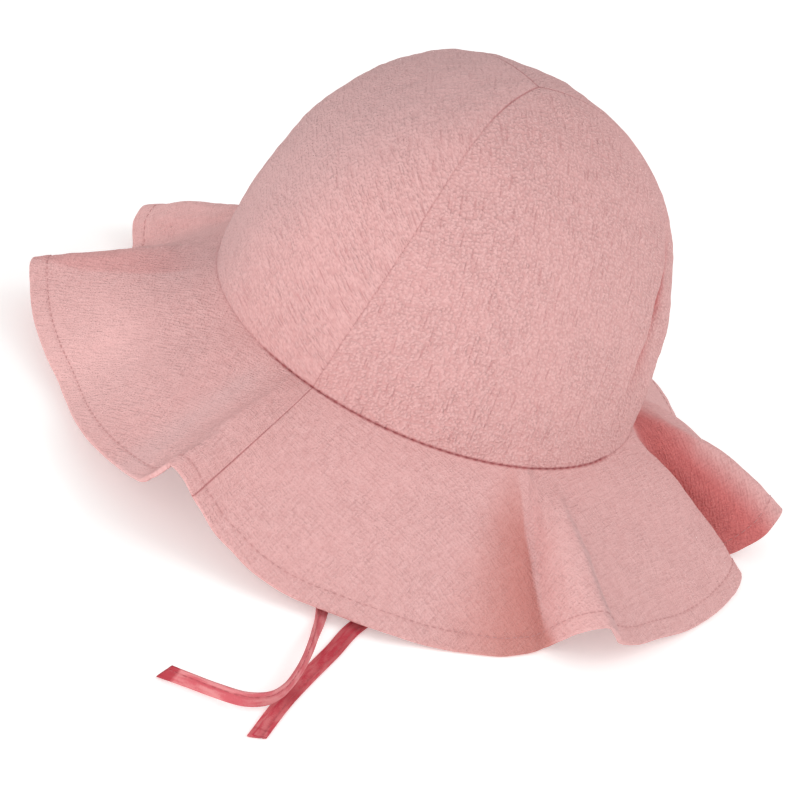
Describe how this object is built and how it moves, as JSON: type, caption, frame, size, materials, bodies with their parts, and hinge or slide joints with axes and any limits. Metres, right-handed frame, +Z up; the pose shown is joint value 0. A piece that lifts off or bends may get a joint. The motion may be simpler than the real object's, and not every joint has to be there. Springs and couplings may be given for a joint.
{
  "type": "baby sun hat",
  "caption": "Soft cotton baby sun hat with a rounded, gored crown, a wide ruffled brim with a turned hem, and loose flat chin ties.",
  "frame": {"origin": "on the surface that the brim rests on, below the middle of the brim's outline", "axes": "+Z up along the crown, -Y to the front of the hat, +X to the wearer's left, where the ties lie"},
  "size_m": [0.326, 0.2806, 0.1454],
  "materials": {
    "cotton": "dusty pink crinkled cotton",
    "tie_cotton": "stitched flat cotton, deeper rose"
  },
  "bodies": {
    "root": {"crown_front": "cotton", "crown_left": "cotton", "crown_right": "cotton", "brim_front": "cotton", "brim_back": "cotton", "tie_left": "tie_cotton", "tie_right": "tie_cotton"}
  },
  "joints": []
}
